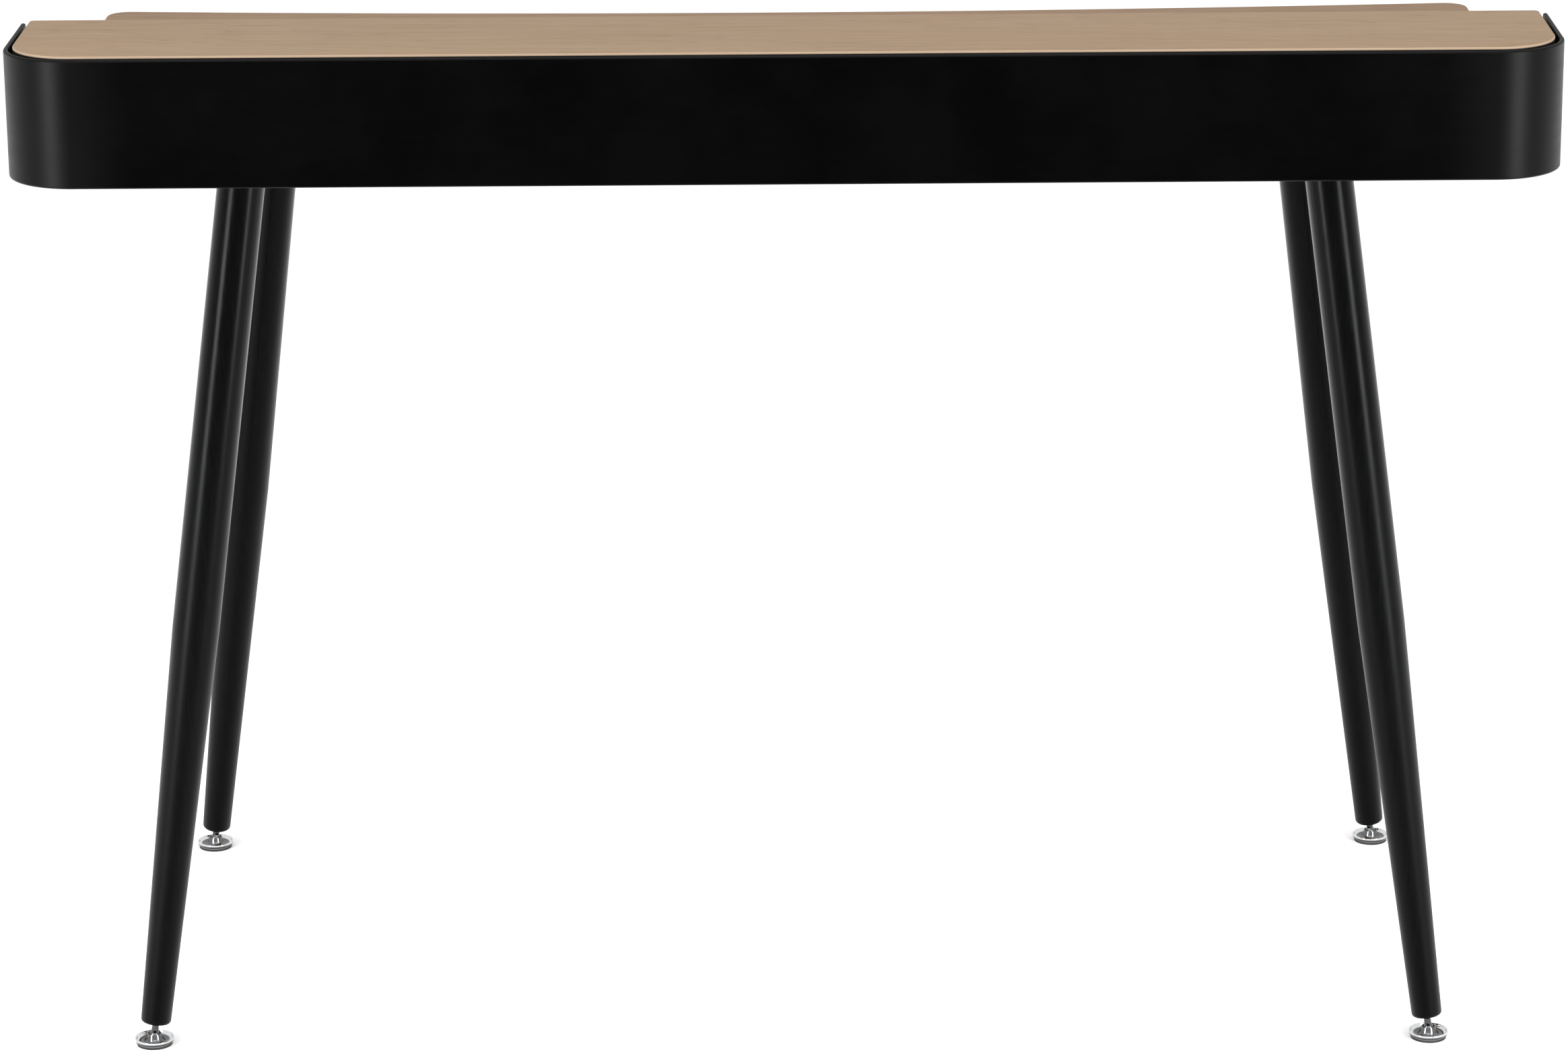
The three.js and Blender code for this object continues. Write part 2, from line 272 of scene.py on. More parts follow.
# ------------------------------------------------------------------ shader maths
class Wire:
    """A number on its way to a shader socket. Arithmetic adds Math nodes."""

    def __init__(self, paint, socket):
        self.paint = paint
        self.socket = socket

    def maths(self, operation, *others):
        values = dict(enumerate((self, *others)))
        return self.paint.node("ShaderNodeMath", {"operation": operation}, values)

    def __add__(self, other):
        return self.maths("ADD", other)

    __radd__ = __add__

    def __sub__(self, other):
        return self.maths("SUBTRACT", other)

    def __rsub__(self, other):
        return (self * -1).maths("ADD", other)

    def __mul__(self, other):
        return self.maths("MULTIPLY", other)

    __rmul__ = __mul__

    def __truediv__(self, other):
        return self.maths("DIVIDE", other)


class Paint:
    """A material and the nodes that feed its Principled shader."""

    def __init__(self, name, **constants):
        self.material = bpy.data.materials.new(name)
        self.material.use_nodes = True
        self.tree = self.material.node_tree
        self.shader = self.tree.nodes["Principled BSDF"]
        for key, value in constants.items():
            self.shader.inputs[key.replace("_", " ").title().replace("Ior", "IOR")].default_value = value
        self.place = self.node("ShaderNodeTexCoord", output="Object")

    def node(self, kind, settings=None, inputs=None, output=0):
        """Adds a node: its settings first, then the values or links of its sockets."""
        node = self.tree.nodes.new(kind)
        for key, value in (settings or {}).items():
            setattr(node, key, value)
        for key, value in (inputs or {}).items():
            if isinstance(value, Wire):
                self.tree.links.new(value.socket, node.inputs[key])
            else:
                node.inputs[key].default_value = value
        return Wire(self, node.outputs[output])

    def stretched(self, scale, shift=(0, 0, 0), turn=(0, 0, 0)):
        inputs = {"Vector": self.place, "Scale": scale, "Location": shift, "Rotation": turn}
        return self.node("ShaderNodeMapping", {}, inputs)

    def axes(self, place):
        """The x, y and z of a place."""
        return [self.node("ShaderNodeSeparateXYZ", {}, {0: place}, output=i) for i in range(3)]

    def at(self, x, y, z):
        return self.node("ShaderNodeCombineXYZ", {}, {0: x, 1: y, 2: z})

    def random(self, value):
        return self.node("ShaderNodeTexWhiteNoise", {"noise_dimensions": "1D"}, {"W": value}, output="Value")

    def noise(self, place, scale, detail=2.0, roughness=0.5):
        inputs = {"Vector": place, "Scale": scale, "Detail": detail, "Roughness": roughness}
        return self.node("ShaderNodeTexNoise", {}, inputs)

    def part(self, wire, low, high, new_low=0.0, new_high=1.0):
        """The wire's value between low and high, spread over a new range and held there."""
        inputs = {0: wire, 1: low, 2: high, 3: new_low, 4: new_high}
        return self.node("ShaderNodeMapRange", {"interpolation_type": "SMOOTHSTEP"}, inputs)

    def mix(self, factor, first, second, blend="MIX"):
        settings = {"data_type": "RGBA", "blend_type": blend}
        return self.node("ShaderNodeMix", settings, {0: factor, 6: first, 7: second}, output=2)

    def feed(self, **wires):
        for key, wire in wires.items():
            name = key.replace("_", " ").title()
            self.tree.links.new(wire.socket, self.shader.inputs[name])

    def bump(self, height, distance, strength=1.0):
        inputs = {"Height": height, "Distance": distance, "Strength": strength}
        self.feed(normal=self.node("ShaderNodeBump", {}, inputs))


def rgb(red, green, blue):
    return (red, green, blue, 1.0)


def make_oak(
    name, shift, tone=(1.0, 1.0, 1.0), leaf=0.19, along="X", rings=1.0, painted_highlight=0.0, shaded_below=None
):
    """Oak with its grain along one axis: rings, pores, rays and slow changes of tone.

    A painted highlight makes the oak paler. Painted shade colours the edge behind the shell's rim black
    below the given height.
    """
    paint = Paint(name, specular_ior_level=0.15)
    turn = (0, 0, 0) if along == "X" else (0, 0, math.pi / 2)
    place = paint.stretched((1, 1, 1), shift, turn)
    x, y, z = paint.axes(place)

    # Each leaf of veneer is cut from another place in the log.
    row = (y / leaf).maths("FLOOR")
    seed = paint.random(row)
    other = paint.random(row + 17.3)
    long_x = x + seed * 7.3
    drift = paint.at(long_x * 0.9, y * 5.0 + seed * 9.0, z * 5.0)
    sway = paint.noise(drift, 1.6, detail=3.0, roughness=0.55)
    fine = paint.at(long_x * 3.0, y * 30.0, z * 30.0)
    ripple = paint.noise(fine, 1.0, detail=3.0, roughness=0.6)

    # Rings round the log's heart, which slants a little through the board.
    across = y - (row + 0.5) * leaf + (seed - 0.5) * 0.09
    across = across + (sway - 0.5) * 0.075 + (ripple - 0.5) * 0.006
    deep = long_x.maths("PINGPONG", 1.7) * 0.028 + 0.03 + other * 0.06 + z + (sway - 0.5) * 0.05
    ring = (across * across + deep * deep).maths("SQRT") * (1 / RING_WIDTH)
    year = ring.maths("FRACT")
    early = paint.part(year, 0.0, 0.16, 1.0, 0.0)
    late = paint.part(year, 0.45, 1.0)

    # Pores are short dark dashes, thickest in the early wood.
    dash = paint.at(long_x * 42.0, y * 1500.0, z * 1500.0)
    speck = paint.noise(dash, 1.0, detail=1.0, roughness=0.4)
    pore = paint.part(speck, 0.56, 0.70) * (early * 0.75 + 0.25)
    hair = paint.at(long_x * 9.0, y * 420.0, z * 420.0)
    strand = paint.noise(hair, 1.0, detail=3.0, roughness=0.65)
    flake = paint.at(long_x * 28.0, y * 170.0, z * 170.0)
    ray = paint.part(paint.noise(flake, 1.0, detail=1.0), 0.66, 0.76)
    slow = paint.at(long_x * 0.8, y * 11.0, z * 11.0)
    band = paint.noise(slow, 1.0, detail=2.0)

    light, dark, warm, pale, pit = (
        rgb(*(part * share for part, share in zip(colour, tone)))
        for colour in (OAK_LIGHT, OAK_DARK, OAK_WARM, OAK_RAY, OAK_PORE)
    )
    shade = band * 0.7 + (strand - 0.5) * 0.8 + (late * 0.18 + early * 0.22) * rings - 0.1
    colour = paint.mix(paint.part(shade, 0.0, 0.9), light, dark)
    colour = paint.mix(paint.part(sway + other * 0.3, 0.5, 0.95, 0.0, 0.55), colour, warm)
    colour = paint.mix(ray * 0.35, colour, pale)
    colour = paint.mix(pore * 0.5, colour, pit)
    # Painted highlight: the colour is mixed towards a pale one.
    colour = paint.mix(painted_highlight, colour, rgb(*OAK_PAINTED_HIGHLIGHT))
    if shaded_below:
        # Painted shade: in the gap behind the shell's rim the edge is coloured near black.
        _, y, z = paint.axes(paint.place)
        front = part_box("top_panel")[0].y + 6 * MM
        gap_shade = paint.part(z, shaded_below, shaded_below + 0.3 * MM, 1.0, 0.0)
        gap_shade = gap_shade * paint.part(y, front, front + 2 * MM)
        colour = paint.mix(gap_shade, colour, rgb(0.006, 0.005, 0.005))
    paint.feed(base_color=colour)
    paint.feed(roughness=paint.part(strand + pore * 0.5, 0.2, 1.1, 0.44, 0.66))
    paint.bump(strand * 0.35 - pore - early * 0.25, 0.00012, 0.6)
    return paint.material


def make_black_paint(name, corner=None):
    """Satin black paint: a fine orange peel and soft rubbed places.

    The corner is the |x| where the shell starts to turn. From there up to its flat side a thin coat gives a
    painted highlight: a stronger reflection of the side lamps.
    """
    paint = Paint(
        name, specular_ior_level=0.3, specular_tint=rgb(0.035, 0.035, 0.037), coat_roughness=0.4
    )
    even = paint.stretched((1, 1, 1))
    peel = paint.noise(even, 900.0, detail=2.0)
    cloud = paint.noise(even, 9.0, detail=4.0, roughness=0.6)
    rub = paint.noise(paint.stretched((1, 1, 4)), 30.0, detail=3.0)
    darkest, palest = rgb(0.0002, 0.0002, 0.0002), rgb(0.0006, 0.0006, 0.0007)
    colour = paint.mix(paint.part(cloud, 0.35, 0.75), darkest, palest)
    paint.feed(roughness=paint.part(cloud * 0.6 + rub * 0.4, 0.3, 0.7, 0.33, 0.42))
    if corner:
        flat_side = corner + SHELL_CORNER
        x = paint.axes(paint.place)[0].maths("ABSOLUTE")
        near = paint.part(x, corner - 50 * MM, corner + 20 * MM)
        past = paint.part(x, flat_side - 8 * MM, flat_side - 1 * MM, 1.0, 0.0)
        # Painted highlight: a thin coat on the corners catches more of the side lamps.
        paint.feed(coat_weight=near * past * CORNER_SHEEN_COAT + cloud * 0.002)
        # Painted shade: the flat sides get a near-metallic black, so they stay black when they are seen
        # along the face instead of reflecting the bright room.
        side = paint.part(x, flat_side - 1.5 * MM, flat_side)
        colour = paint.mix(side, colour, rgb(0.006, 0.006, 0.0063))
        paint.feed(metallic=side * SHADED_SIDE_METALLIC)
    paint.feed(base_color=colour)
    paint.bump(peel, 0.00002, 0.35)
    return paint.material


def make_black_rim(name):
    """Painted shade: a less reflective black paint on the top of the shell's cut edge, so it stays black
    instead of reflecting the bright room.
    """
    paint = Paint(name, specular_ior_level=0.06)
    grit = paint.noise(paint.stretched((1, 1, 1)), 1200.0, detail=2.0)
    paint.feed(base_color=paint.mix(grit, rgb(0.0015, 0.0015, 0.0016), rgb(0.004, 0.004, 0.0042)))
    paint.feed(roughness=paint.part(grit, 0.3, 0.7, 0.42, 0.55))
    paint.bump(grit, 0.00002, 0.4)
    return paint.material


def make_black_lacquer(name):
    """Satin black lacquer on turned wood: the grain shows faintly, and the foot is duller."""
    paint = Paint(name, specular_tint=rgb(0.085, 0.087, 0.09))
    grain = paint.noise(paint.stretched((90, 90, 3)), 6.0, detail=4.0, roughness=0.6)
    cloud = paint.noise(paint.stretched((1, 1, 0.4)), 22.0, detail=3.0)
    darkest, palest = rgb(0.0002, 0.0002, 0.0002), rgb(0.0009, 0.0009, 0.0008)
    colour = paint.mix(paint.part(grain, 0.3, 0.75), darkest, palest)
    paint.feed(base_color=colour)
    height = paint.axes(paint.place)[2]
    dull = paint.part(height, 0.15, 0.65, 0.2, 0.0)
    paint.feed(roughness=paint.part(cloud * 0.5 + grain * 0.5, 0.3, 0.7, 0.19, 0.27) + dull)
    paint.bump(grain, 0.00006, 0.4)
    return paint.material


def make_stain(name):
    """Matt black stain on plywood, with open pores along the desk."""
    paint = Paint(name, base_color=rgb(0.015, 0.014, 0.013), roughness=0.65, specular_ior_level=0.3)
    grain = paint.noise(paint.stretched((9, 420, 420)), 1.0, detail=4.0, roughness=0.65)
    colour = paint.mix(paint.part(grain, 0.3, 0.75), rgb(0.010, 0.009, 0.009), rgb(0.026, 0.024, 0.022))
    paint.feed(base_color=colour)
    paint.feed(roughness=paint.part(grain, 0.2, 0.8, 0.55, 0.75))
    paint.bump(grain, 0.0001, 0.5)
    return paint.material


def make_chrome(name):
    """Polished chrome with painted shade and a painted reflection: darker in the dish's groove and under its
    rim as if shaded, and darker on its hub as if reflecting the leg.
    """
    paint = Paint(name, metallic=1.0)
    haze = paint.noise(paint.stretched((1, 1, 1)), 160.0, detail=3.0)
    marks = paint.noise(paint.stretched((60, 60, 2600)), 1.0, detail=2.0)
    x, y, z = paint.axes(paint.place)
    foot = leg_line(LEGS[0])[0]
    across = x.maths("ABSOLUTE") - abs(foot.x)
    ahead = y.maths("ABSOLUTE") - abs(foot.y)
    radius = (across * across + ahead * ahead).maths("SQRT")
    # Painted shade in the groove and under the rim, and a painted dark reflection on the hub.
    groove = paint.part(radius, HUB_RADIUS, 8.6 * MM)
    groove = groove * paint.part(radius, 11.6 * MM, 13.2 * MM, 1.0, 0.0)
    under = paint.part(radius, 14.5 * MM, 15.2 * MM) * paint.part(z, 4.4 * MM, 5.2 * MM, 1.0, 0.0)
    hub = paint.part(radius, HUB_RADIUS, 8.4 * MM, 0.9, 0.0)
    shade = (groove + under + hub).maths("MINIMUM", 1.0)
    colour = paint.mix(haze, rgb(0.56, 0.57, 0.58), rgb(0.70, 0.71, 0.72))
    paint.feed(base_color=paint.mix(shade * 0.92, colour, rgb(0.03, 0.03, 0.032)))
    paint.feed(roughness=paint.part(haze, 0.3, 0.7, 0.06, 0.13))
    paint.bump(marks, 0.00001, 0.3)
    return paint.material


def make_zinc(name):
    """Zinc-plated steel: dull, lightly mottled."""
    paint = Paint(name, base_color=rgb(0.55, 0.56, 0.57), metallic=1.0, roughness=0.38)
    mottle = paint.noise(paint.stretched((1, 1, 1)), 210.0, detail=4.0, roughness=0.6)
    colour = paint.mix(mottle, rgb(0.46, 0.47, 0.49), rgb(0.64, 0.64, 0.63))
    paint.feed(base_color=colour)
    paint.feed(roughness=paint.part(mottle, 0.3, 0.7, 0.3, 0.5))
    paint.bump(mottle, 0.00003, 0.4)
    return paint.material


def make_rubber(name):
    """Matt black rubber with a fine moulded texture."""
    paint = Paint(name, base_color=rgb(0.018, 0.018, 0.018), roughness=0.8, specular_ior_level=0.3)
    texture = paint.noise(paint.stretched((1, 1, 1)), 1500.0, detail=2.0)
    paint.feed(base_color=paint.mix(texture, rgb(0.012, 0.012, 0.012), rgb(0.028, 0.028, 0.028)))
    paint.feed(roughness=paint.part(texture, 0.3, 0.7, 0.72, 0.9))
    paint.bump(texture, 0.00005, 0.5)
    return paint.material


oak_top = make_oak("oak_top", (0.31, 0.11, 0.02), leaf=0.4, rings=0.5)
oak_board = make_oak("oak_board", (1.7, 0.3, 0.4), tone=(0.83, 0.755, 0.69), rings=0.7)
oak_lipping = make_oak("oak_lipping", (0.4, 0.9, 0.2), tone=(1.25, 1.2, 1.15), rings=0.6)
# The top panel's edges: a painted highlight on the oak, and painted shade on the part behind the shell's
# rim.
oak_rim = make_oak(
    "oak_rim", (0.4, 0.9, 0.2), tone=(0.83, 0.83, 0.83), rings=0.4, painted_highlight=0.35,
    shaded_below=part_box("back_shell")[1].z + 0.1 * MM,
)
oak_front = make_oak("oak_front", (0.9, 0.5, 0.8), rings=0.8)
oak_inside = make_oak("oak_inside", (2.3, 0.2, 1.1), tone=(1.3, 1.3, 1.3))
oak_side = make_oak("oak_side", (1.3, 0.7, 0.5), tone=(1.3, 1.3, 1.3), along="Y")
black_paint = make_black_paint("black_paint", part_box("back_shell")[1].x - SHELL_CORNER)
shaded_black_rim = make_black_rim("shaded_black_rim")
black_knob = make_black_paint("black_knob")
black_lacquer = make_black_lacquer("black_lacquer")
black_stain = make_stain("black_stain")
chrome = make_chrome("chrome")
zinc = make_zinc("zinc")
rubber = make_rubber("rubber")


# ------------------------------------------------------------------ shell and oak panels
def make_shell():
    """One bent sheet: a box rounded at its rear corners, opened, then given its thickness."""
    low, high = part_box("back_shell")
    shell = block("shell", low, high)
    bevel(shell, lambda e: upright(e) and middle(e).y > high.y - 1e-4, SHELL_CORNER, 28)
    choose(shell, "FACE", lambda f: abs(f.normal.z) > 0.9 or f.normal.y < -0.9)
    bpy.ops.mesh.delete(type="FACE")
    close_edit()
    apply_modifier(
        shell, "SOLIDIFY", thickness=SHELL_WALL, offset=-1, use_even_offset=True, use_rim=True
    )
    bevel(shell, sharp, SHELL_EDGE, 4)
    smooth(shell)
    finished(shell, DESK, black_paint, "black_steel", "back_shell")
    # Painted shade: the top of the rim gets the less reflective black.
    dress(shell, shaded_black_rim, lambda f: f.normal.z > 0.55 and f.calc_center_median().z > high.z - 3 * MM)


def make_top_panel():
    low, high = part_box("top_panel")
    panel = block("oak_top_panel", low, high)
    bevel(panel, lambda e: upright(e) and middle(e).y > high.y - 1e-4, PANEL_CORNER, 24)
    bevel(panel, lambda e: upright(e) and middle(e).y < low.y + 1e-4, PANEL_FRONT_CORNER, 6)
    bevel(panel, lambda e: sharp(e) and middle(e).z > high.z - 1e-4, PANEL_EDGE, 4)
    bevel(panel, lambda e: sharp(e) and middle(e).z < low.z + 1e-4, 0.8 * MM, 2)
    smooth(panel)
    finished(panel, DESK, oak_top, "oak", "top_panel")
    dress(panel, oak_rim, lambda f: abs(f.normal.z) < 0.98)


def make_writing_board():
    """A slab whose front edge is cut to a hollow by a very large round cutter."""
    low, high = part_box("writing_board")
    board = block("oak_writing_board", low, high)
    chord = high.x - FRONT_CORNER
    sweep = (chord * chord + BOARD_HOLLOW * BOARD_HOLLOW) / (2 * BOARD_HOLLOW)
    clear_selection()
    bpy.ops.mesh.primitive_cylinder_add(
        vertices=1800, radius=sweep, depth=0.2, location=(0, low.y + BOARD_HOLLOW - sweep, low.z)
    )
    cutter = settle(bpy.context.object)
    apply_modifier(board, "BOOLEAN", operation="DIFFERENCE", object=cutter, solver="EXACT")
    bpy.data.objects.remove(cutter)
    bevel(board, lambda e: upright(e) and middle(e).y > high.y - 1e-4, BOARD_CORNER, 20)
    bevel(
        board, lambda e: upright(e) and middle(e).y < 0 and abs(middle(e).x) > high.x - 1e-4,
        FRONT_CORNER - 1 * MM, 14,
    )
    bevel(board, lambda e: sharp(e) and middle(e).z > high.z - 1e-4, BOARD_EDGE, 4)
    bevel(board, lambda e: sharp(e) and middle(e).z < low.z + 1e-4, 1.5 * MM, 3)
    smooth(board)
    finished(board, DESK, oak_board, "oak", "writing_board")
    dress(board, oak_lipping, lambda f: abs(f.normal.z) < 0.98)


# ------------------------------------------------------------------ carcass and drawers
def centre(node):
    low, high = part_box(node)
    return (low + high) / 2


def copy_to(master, nodes):
    """Copies a piece that was modelled at the first node to the middle of each of the others."""
    first = centre(nodes[0])
    pieces = [twin(master, f"{node}_piece") for node in nodes]
    for piece, node in zip(pieces, nodes):
        piece.location = centre(node) - first
        settle(piece)
    bpy.data.objects.remove(master)
    return pieces


def make_carcass_ends():
    """An end follows the shell's rounded corner, so it is cut from a block with that corner."""
    for side, s in (("left", -1), ("right", 1)):
        node = f"carcass_end_{side}"
        low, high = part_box(node)
        inner, outer = (low.x, high.x) if s > 0 else (high.x, low.x)
        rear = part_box("carcass_back")[1].y
        ends = sorted((outer, outer - s * CARCASS_CORNER))
        piece = block(f"{node}_piece", (ends[0], low.y, low.z), (ends[1], rear, high.z))
        bevel(
            piece,
            lambda e: upright(e) and middle(e).y > rear - 1e-4 and abs(middle(e).x - outer) < 1e-4,
            CARCASS_CORNER - 0.01 * MM, 32,
        )
        choose(piece, "FACE", lambda f: True)
        bpy.ops.mesh.bisect(
            plane_co=(inner, 0, 0), plane_no=(-s, 0, 0), use_fill=True, clear_outer=True
        )
        close_edit()
        bevel(piece, sharp, 0.6 * MM, 2)
        smooth(piece)
        finished(piece, DESK, black_stain, "black_stain", node)


def make_carcass():
    make_carcass_ends()
    fixed = [
        ["carcass_back"],
        [f"divider_{side}" for side in SIDES],
        [f"runner_{side}_{strip}" for side in SIDES for strip in ("inner", "outer")],
        [f"drawer_stop_{side}" for side in SIDES],
    ]
    for nodes in fixed:
        low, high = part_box(nodes[0])
        master = eased_block(f"{nodes[0]}_master", low, high, 0.6 * MM)
        for piece, node in zip(copy_to(master, nodes), nodes):
            finished(piece, DESK, black_stain, "black_stain", node)


def make_drawers():
    dresses = {
        "front": (oak_front, "oak", 1.2 * MM, 3),
        "side_inner": (oak_side, "drawer_oak", 0.8 * MM, 2),
        "side_outer": (oak_side, "drawer_oak", 0.8 * MM, 2),
        "back": (oak_inside, "drawer_oak", 0.8 * MM, 2),
        "bottom": (oak_inside, "drawer_oak", 0.4 * MM, 2),
    }
    for part, (material, slot, edge, segments) in dresses.items():
        nodes = [f"drawer_{side}_{part}" for side in SIDES]
        low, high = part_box(nodes[0])
        master = eased_block(f"{part}_master", low, high, edge, segments)
        for piece, node, side in zip(copy_to(master, nodes), nodes, SIDES):
            finished(piece, f"drawer_{side}", material, slot, node)

    low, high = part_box("drawer_left_pull")
    radius = (high.x - low.x) / 2
    length = high.y - low.y
    profile = [(5 * MM, 0), (4.6 * MM, 1 * MM), (4.4 * MM, 3 * MM), (5.2 * MM, 7 * MM)]
    profile += [(7.4 * MM, 11 * MM), (radius - 0.3 * MM, 14 * MM)]
    profile += bend(2 * MM, (radius - 2 * MM, length - 2 * MM), 0, 80, 6)
    profile += [(3 * MM, length - 0.1 * MM), (0.4 * MM, length)]
    knob = turned("knob_master", profile)
    middle_x, middle_z = (low.x + high.x) / 2, (low.z + high.z) / 2
    knob.location = (middle_x, high.y, middle_z)
    knob.rotation_euler = (math.pi / 2, 0, 0)
    settle(knob)
    nodes = [f"drawer_{side}_pull" for side in SIDES]
    for piece, node, side in zip(copy_to(knob, nodes), nodes, SIDES):
        finished(piece, f"drawer_{side}", black_knob, "black_steel", node)


# ------------------------------------------------------------------ legs and feet
def stand(piece, foot, up):
    """Turns a piece that stands along Z to stand along a leg, from its foot."""
    piece.matrix_world = Matrix.Translation(foot) @ up.to_track_quat("Z", "Y").to_matrix().to_4x4()
    return settle(piece)


def model_leg():
    """A leg along Z with its ball's centre at the origin, longer than it will be."""
    name = LEGS[0]
    foot, up = leg_line(name)
    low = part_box(f"leg_{name}")[0]
    plate_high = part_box(f"leg_plate_{name}")[1]
    start = (low.z + LEG_END_RADIUS * math.sin(up.angle(Vector((0, 0, 1)))) - foot.z) / up.z
    length = (plate_high.z - foot.z) / up.z
    taper_top = length - LEG_STRAIGHT * (length - start)
    round_start = start + LEG_END_EDGE
    profile = [(7 * MM, start + 0.3 * MM), (LEG_END_RADIUS - LEG_END_EDGE, start)]
    profile += bend(LEG_END_EDGE, (LEG_END_RADIUS - LEG_END_EDGE, round_start), -75, 0, 6)
    steps = 24
    for i in range(1, steps + 1):
        along = i / steps
        radius = LEG_END_RADIUS + (LEG_RADIUS - LEG_END_RADIUS) * along
        profile.append((radius, round_start + (taper_top - round_start) * along))
    profile.append((LEG_RADIUS, length + 0.03))
    return turned("leg_master", profile, 96)


def model_stem():
    """A threaded stem along Z that ends in a ball at the origin.

    The thread covers what can come out of the leg, and a plain shank stays inside it.
    """
    foot, up = leg_line(LEGS[0])
    root = STEM_RADIUS - THREAD_DEPTH
    leg_end = (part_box(f"leg_{LEGS[0]}")[0].z - foot.z) / up.z
    top = (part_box(f"foot_stem_{LEGS[0]}")[1].z - foot.z) / up.z - 1 * MM
    travel = JOINTS[f"foot_{LEGS[0]}_height"]["range_m"][1]
    profile = bend(BALL_RADIUS, (0, 0), -86, 44, 14)
    height = 4.2 * MM
    while height < leg_end + travel + THREAD_SPARE:
        crest = height + THREAD_DEPTH
        profile += [(root, height), (STEM_RADIUS, crest), (STEM_RADIUS, crest + THREAD_CREST)]
        profile.append((root, crest + THREAD_CREST + THREAD_DEPTH))
        height += THREAD_PITCH
    profile += [(root, height), (root, top)]
    return turned("stem_master", profile, 40)


def model_dish():
    """The foot's dish, at the middle of the desk: a raised rim and a socket for the ball."""
    name = LEGS[0]
    ball = leg_line(name)[0].z
    low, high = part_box(f"foot_dish_{name}")
    edge = (high.x - low.x) / 2
    base, top = low.z, high.z
    rim = base + DISH_RIM
    floor = base + DISH_FLOOR
    profile = [(edge - 3 * MM, base), (edge - 1.4 * MM, base + 0.1 * MM)]
    profile += [(edge - 0.4 * MM, base + 1.4 * MM), (edge, base + 2.8 * MM)]
    profile += bend(0.7 * MM, (edge - 0.7 * MM, rim - 0.7 * MM), 10, 150, 8)
    profile += [(edge - 2 * MM, floor + 1.3 * MM), (edge - 3.6 * MM, floor + 0.4 * MM)]
    profile += [(9.6 * MM, floor), (8.4 * MM, floor + 0.3 * MM), (HUB_RADIUS, floor + 1.2 * MM)]
    profile += [(6.6 * MM, floor + 3 * MM), (6.0 * MM, top - 0.8 * MM)]
    profile += bend(0.5 * MM, (5.3 * MM, top - 0.5 * MM), 20, 110, 5)
    profile += [(4.9 * MM, top - 0.3 * MM), (4.8 * MM, top - 1.6 * MM), (4.9 * MM, top - 2.6 * MM)]
    profile += [(4.5 * MM, ball - 2.4 * MM), (2.6 * MM, ball - 4.5 * MM), (0.5 * MM, ball - 5 * MM)]
    return turned("dish_master", profile, 72)


def model_pad():
    low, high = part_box(f"foot_pad_{LEGS[0]}")
    radius = (high.x - low.x) / 2
    profile = [(radius - 1.2 * MM, 0)] + bend(0.6 * MM, (radius - 0.6 * MM, 0.6 * MM), -80, 0, 5)
    profile += [(radius, high.z - 0.2 * MM), (radius - 0.2 * MM, high.z)]
    return turned("pad_master", profile, 64)


def make_legs():
    """Legs and feet are modelled once, then each copy is stood in its own place."""
    masters = {"leg": model_leg(), "stem": model_stem(), "dish": model_dish(), "pad": model_pad()}
    for name in LEGS:
        foot, up = leg_line(name)
        leg = stand(twin(masters["leg"], f"leg_{name}_turned"), foot, up)
        choose(leg, "FACE", lambda f: True)
        plate_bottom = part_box(f"leg_plate_{name}")[0].z
        bpy.ops.mesh.bisect(
            plane_co=(0, 0, plate_bottom - 0.3 * MM), plane_no=(0, 0, 1), use_fill=True, clear_outer=True
        )
        close_edit()
        smooth(leg, 30)
        finished(leg, DESK, black_lacquer, "black_wood", f"leg_{name}")
        stem = stand(twin(masters["stem"], f"foot_stem_{name}_threaded"), foot, up)
        finished(stem, f"foot_stem_{name}", chrome, "chrome", f"foot_stem_{name}")
        for part, material, slot in (("dish", chrome, "chrome"), ("pad", rubber, "rubber")):
            piece = twin(masters[part], f"foot_{part}_{name}_turned")
            piece.location = (foot.x, foot.y, 0)
            finished(settle(piece), f"foot_dish_{name}", material, slot, f"foot_{part}_{name}")
    for master in masters.values():
        bpy.data.objects.remove(master)


def make_plates():
    """Each leg's mounting plate is held under the board by four screws with pan heads."""
    low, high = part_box(f"leg_plate_{LEGS[0]}")
    plate = block("plate_master", low, high)
    bevel(plate, upright, PLATE_CORNER, 10)
    bevel(plate, lambda e: sharp(e) and middle(e).z < low.z + 1e-4, 1.2 * MM, 3)
    smooth(plate)
    nodes = [f"leg_plate_{name}" for name in LEGS]
    for piece, node in zip(copy_to(plate, nodes), nodes):
        finished(piece, DESK, zinc, "zinc", node)

    profile = [(SCREW_HEAD, 0.0), (SCREW_HEAD, -0.5 * MM), (SCREW_HEAD * 0.86, -1.5 * MM)]
    profile += [(SCREW_HEAD * 0.5, -2.2 * MM), (1.7 * MM, -2.3 * MM)]
    profile += [(1.5 * MM, -1.2 * MM), (0.3 * MM, -1.1 * MM)]
    screw = turned("screw_master", profile, 32)
    reach = (high.x - low.x) / 2 - SCREW_INSET
    for node in nodes:
        spot = centre(node)
        for index, (sx, sy) in enumerate(((-1, -1), (-1, 1), (1, -1), (1, 1))):
            copy = twin(screw, f"{node}_screw_{index + 1}")
            copy.location = (spot.x + sx * reach, spot.y + sy * reach, low.z)
            finished(settle(copy), DESK, zinc, "zinc")
    bpy.data.objects.remove(screw)


# ------------------------------------------------------------------ CAD nodes that stay
def dress_frame_nodes():
    dresses = {"leg_bolt": zinc, "leg_insert": zinc, "pull_screw": zinc, "drawer_bumper": rubber}
    for name, node in frame["nodes"].items():
        for word, material in dresses.items():
            if word in name:
                node.data.materials.clear()
                node.data.materials.append(material)


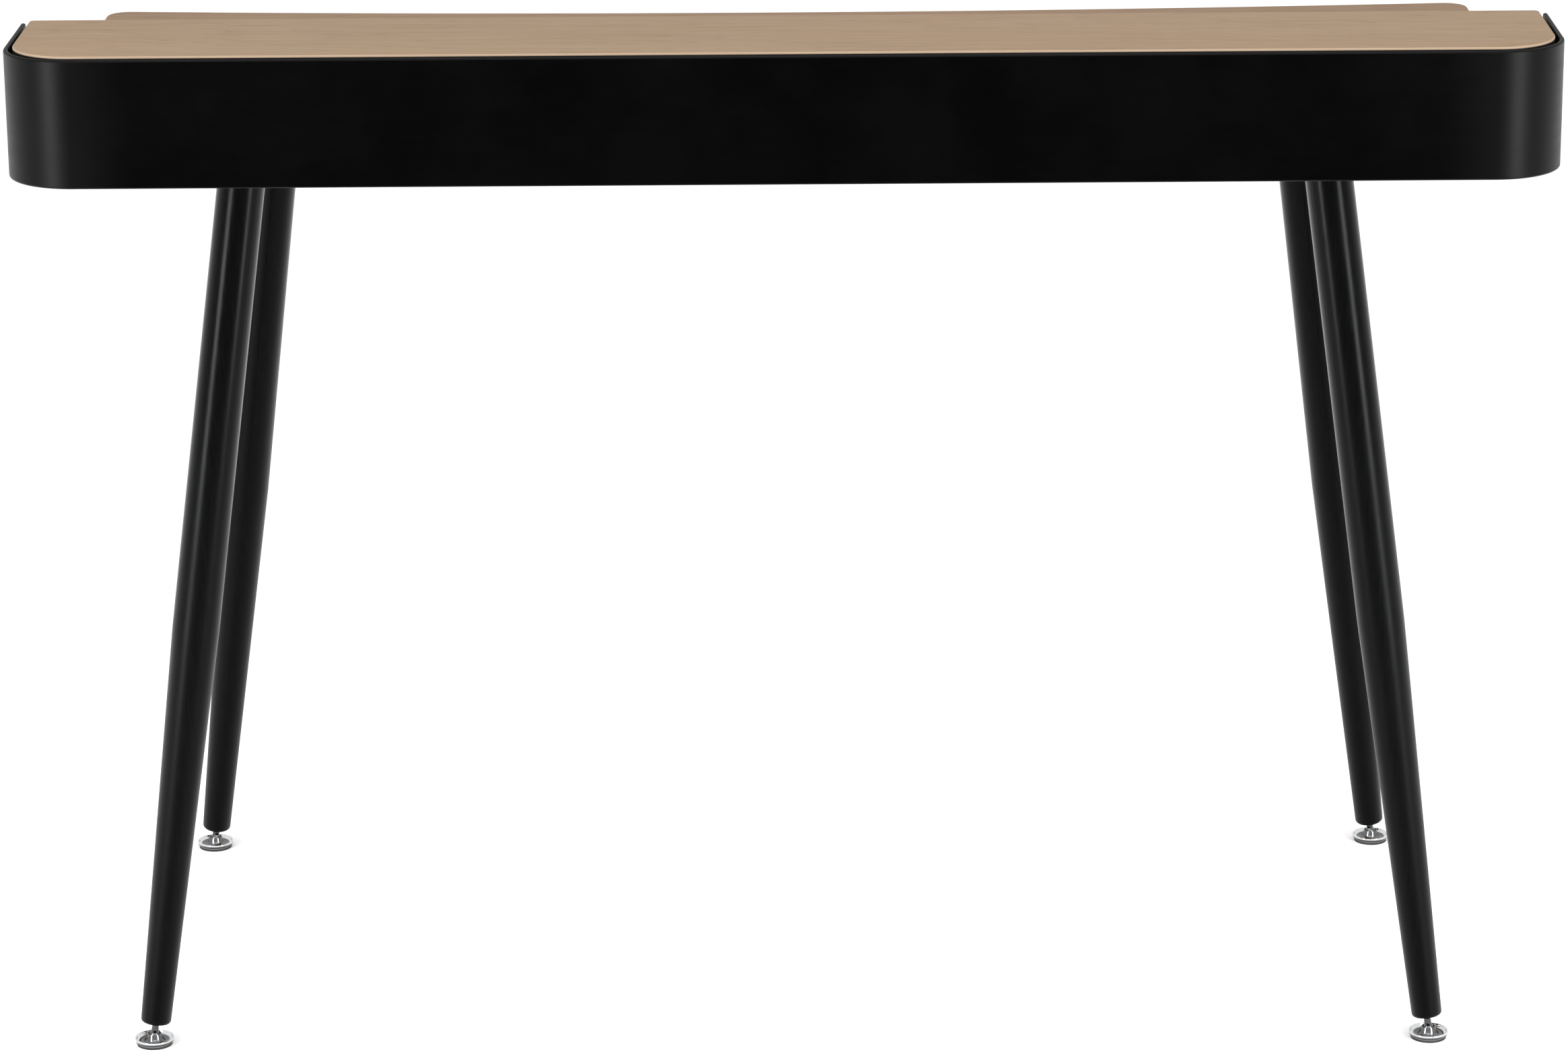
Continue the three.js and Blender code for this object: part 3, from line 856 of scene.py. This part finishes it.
# ------------------------------------------------------------------ studio
def make_floor():
    clear_selection()
    bpy.ops.mesh.primitive_plane_add(size=40, location=(0, 0, 0))
    floor = bpy.context.object
    floor.name = "floor"
    paint = Paint("floor_white", roughness=0.9, specular_ior_level=0.1)
    cloud = paint.noise(paint.stretched((1, 1, 1)), 0.7, detail=2.0)
    paint.feed(base_color=paint.mix(cloud, rgb(0.93, 0.93, 0.93), rgb(0.94, 0.94, 0.94)))
    floor.data.materials.append(paint.material)


def make_light(name, place, target, size, radiance):
    """A soft box that lights the desk and shows only in reflections."""
    light = bpy.data.lights.new(name, "AREA")
    light.shape = "RECTANGLE"
    light.size, light.size_y = size
    light.energy = radiance * math.pi * light.size * light.size_y
    lamp = bpy.data.objects.new(name, light)
    lamp.location = place
    lamp.rotation_euler = (Vector(target) - Vector(place)).to_track_quat("-Z", "Y").to_euler()
    lamp.visible_camera = False
    bpy.context.scene.collection.objects.link(lamp)


def make_studio():
    """A bright even room, a tall strip on each side and a broad box over the camera."""
    world = bpy.data.worlds.new("studio")
    bpy.context.scene.world = world
    world.use_nodes = True
    room = world.node_tree.nodes["Background"].inputs
    room["Color"].default_value = rgb(1, 1, 1)
    room["Strength"].default_value = ROOM_STRENGTH
    for side, s in (("left", -1), ("right", 1)):
        place, target = ((s * x, y, z) for x, y, z in (STRIP_PLACE, STRIP_TARGET))
        make_light(f"{side}_strip", place, target, STRIP_SIZE, STRIP_RADIANCE)
    make_light("key", KEY_PLACE, KEY_TARGET, KEY_SIZE, KEY_RADIANCE)
    bpy.context.scene.view_settings.view_transform = "Standard"


def make_camera():
    """The camera looks at the desk's black back from a little above it."""
    heading, pitch, roll = (math.radians(angle) for angle in CAMERA_DEGREES)
    ahead = Vector((
        -math.sin(heading) * math.cos(pitch), -math.cos(heading) * math.cos(pitch), -math.sin(pitch)
    ))
    level = Vector((-math.cos(heading), math.sin(heading), 0))
    rise = level.cross(ahead)
    right = math.cos(roll) * level + math.sin(roll) * rise
    up = -math.sin(roll) * level + math.cos(roll) * rise
    camera = bpy.data.cameras.new("camera")
    camera.sensor_width = CAMERA_SENSOR
    camera.lens = CAMERA_LENS
    holder = bpy.data.objects.new("camera", camera)
    turn = Matrix((right, up, -ahead)).transposed().to_4x4()
    holder.matrix_world = Matrix.Translation(CAMERA_PLACE) @ turn
    bpy.context.scene.collection.objects.link(holder)
    bpy.context.scene.camera = holder


make_shell()
make_top_panel()
make_writing_board()
make_carcass()
make_drawers()
make_legs()
make_plates()
dress_frame_nodes()
make_floor()
make_studio()
make_camera()
clear_selection()
